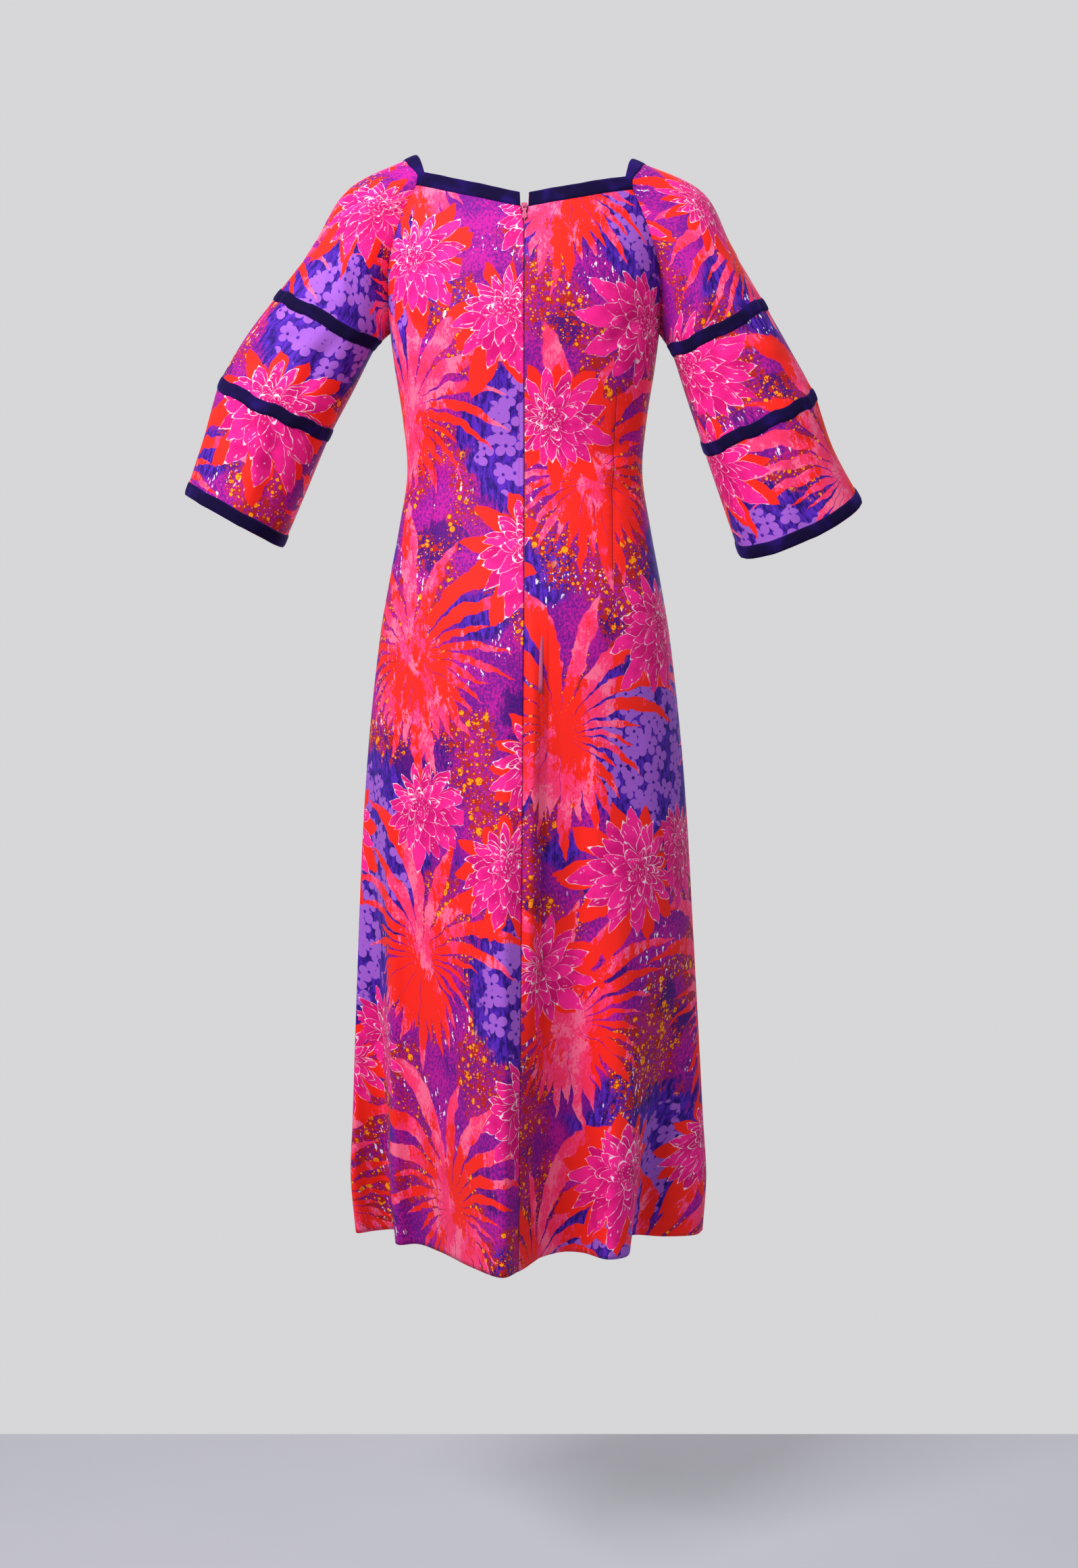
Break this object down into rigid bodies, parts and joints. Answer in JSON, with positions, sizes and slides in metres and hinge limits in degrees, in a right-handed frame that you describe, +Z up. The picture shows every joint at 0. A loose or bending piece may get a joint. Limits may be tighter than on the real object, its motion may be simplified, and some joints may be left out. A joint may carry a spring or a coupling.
{
  "type": "long-sleeved maxi dress",
  "caption": "Long fitted dress of flower-printed cotton with raglan bell sleeves, a square neck, velvet ribbon trim and a back zip.",
  "frame": {"origin": "midway between the wearer's shoulders, at the height of the top of the shoulders", "axes": "+Z up; -Y is the back of the dress, where the zip is; +X is the wearer's right"},
  "size_m": [0.8479, 0.3581, 1.3527],
  "materials": {
    "printed_cotton": "plain-weave cotton with a large multicoloured flower and leaf print",
    "velvet_ribbon": "dark indigo velvet ribbon with a soft blue sheen",
    "zip_tape": "woven rose tape",
    "zip_metal": "rose enamel over metal"
  },
  "bodies": {
    "dress": {"front": "printed_cotton", "back_left": "printed_cotton", "back_right": "printed_cotton", "sleeve_left": "printed_cotton", "sleeve_right": "printed_cotton", "neck_ribbon_back_left": "velvet_ribbon", "neck_ribbon_back_right": "velvet_ribbon", "neck_ribbon_front": "velvet_ribbon", "neck_ribbon_shoulder_left": "velvet_ribbon", "neck_ribbon_shoulder_right": "velvet_ribbon", "sleeve_ribbon_upper_left": "velvet_ribbon", "sleeve_ribbon_middle_left": "velvet_ribbon", "sleeve_ribbon_cuff_left": "velvet_ribbon", "sleeve_ribbon_upper_right": "velvet_ribbon", "sleeve_ribbon_middle_right": "velvet_ribbon", "sleeve_ribbon_cuff_right": "velvet_ribbon", "zip_tape_left": "zip_tape", "zip_tape_right": "zip_tape", "zip_slider": "zip_metal"},
    "zip_pull": {"zip_pull": "zip_metal"}
  },
  "joints": [
    {"name": "zip_pull_hinge", "type": "hinge", "parent": "dress", "child": "zip_pull", "pos_m": [0, -0.09289, -0.08484], "axis": [-1, 0, 0], "range_deg": [0, 150]}
  ]
}
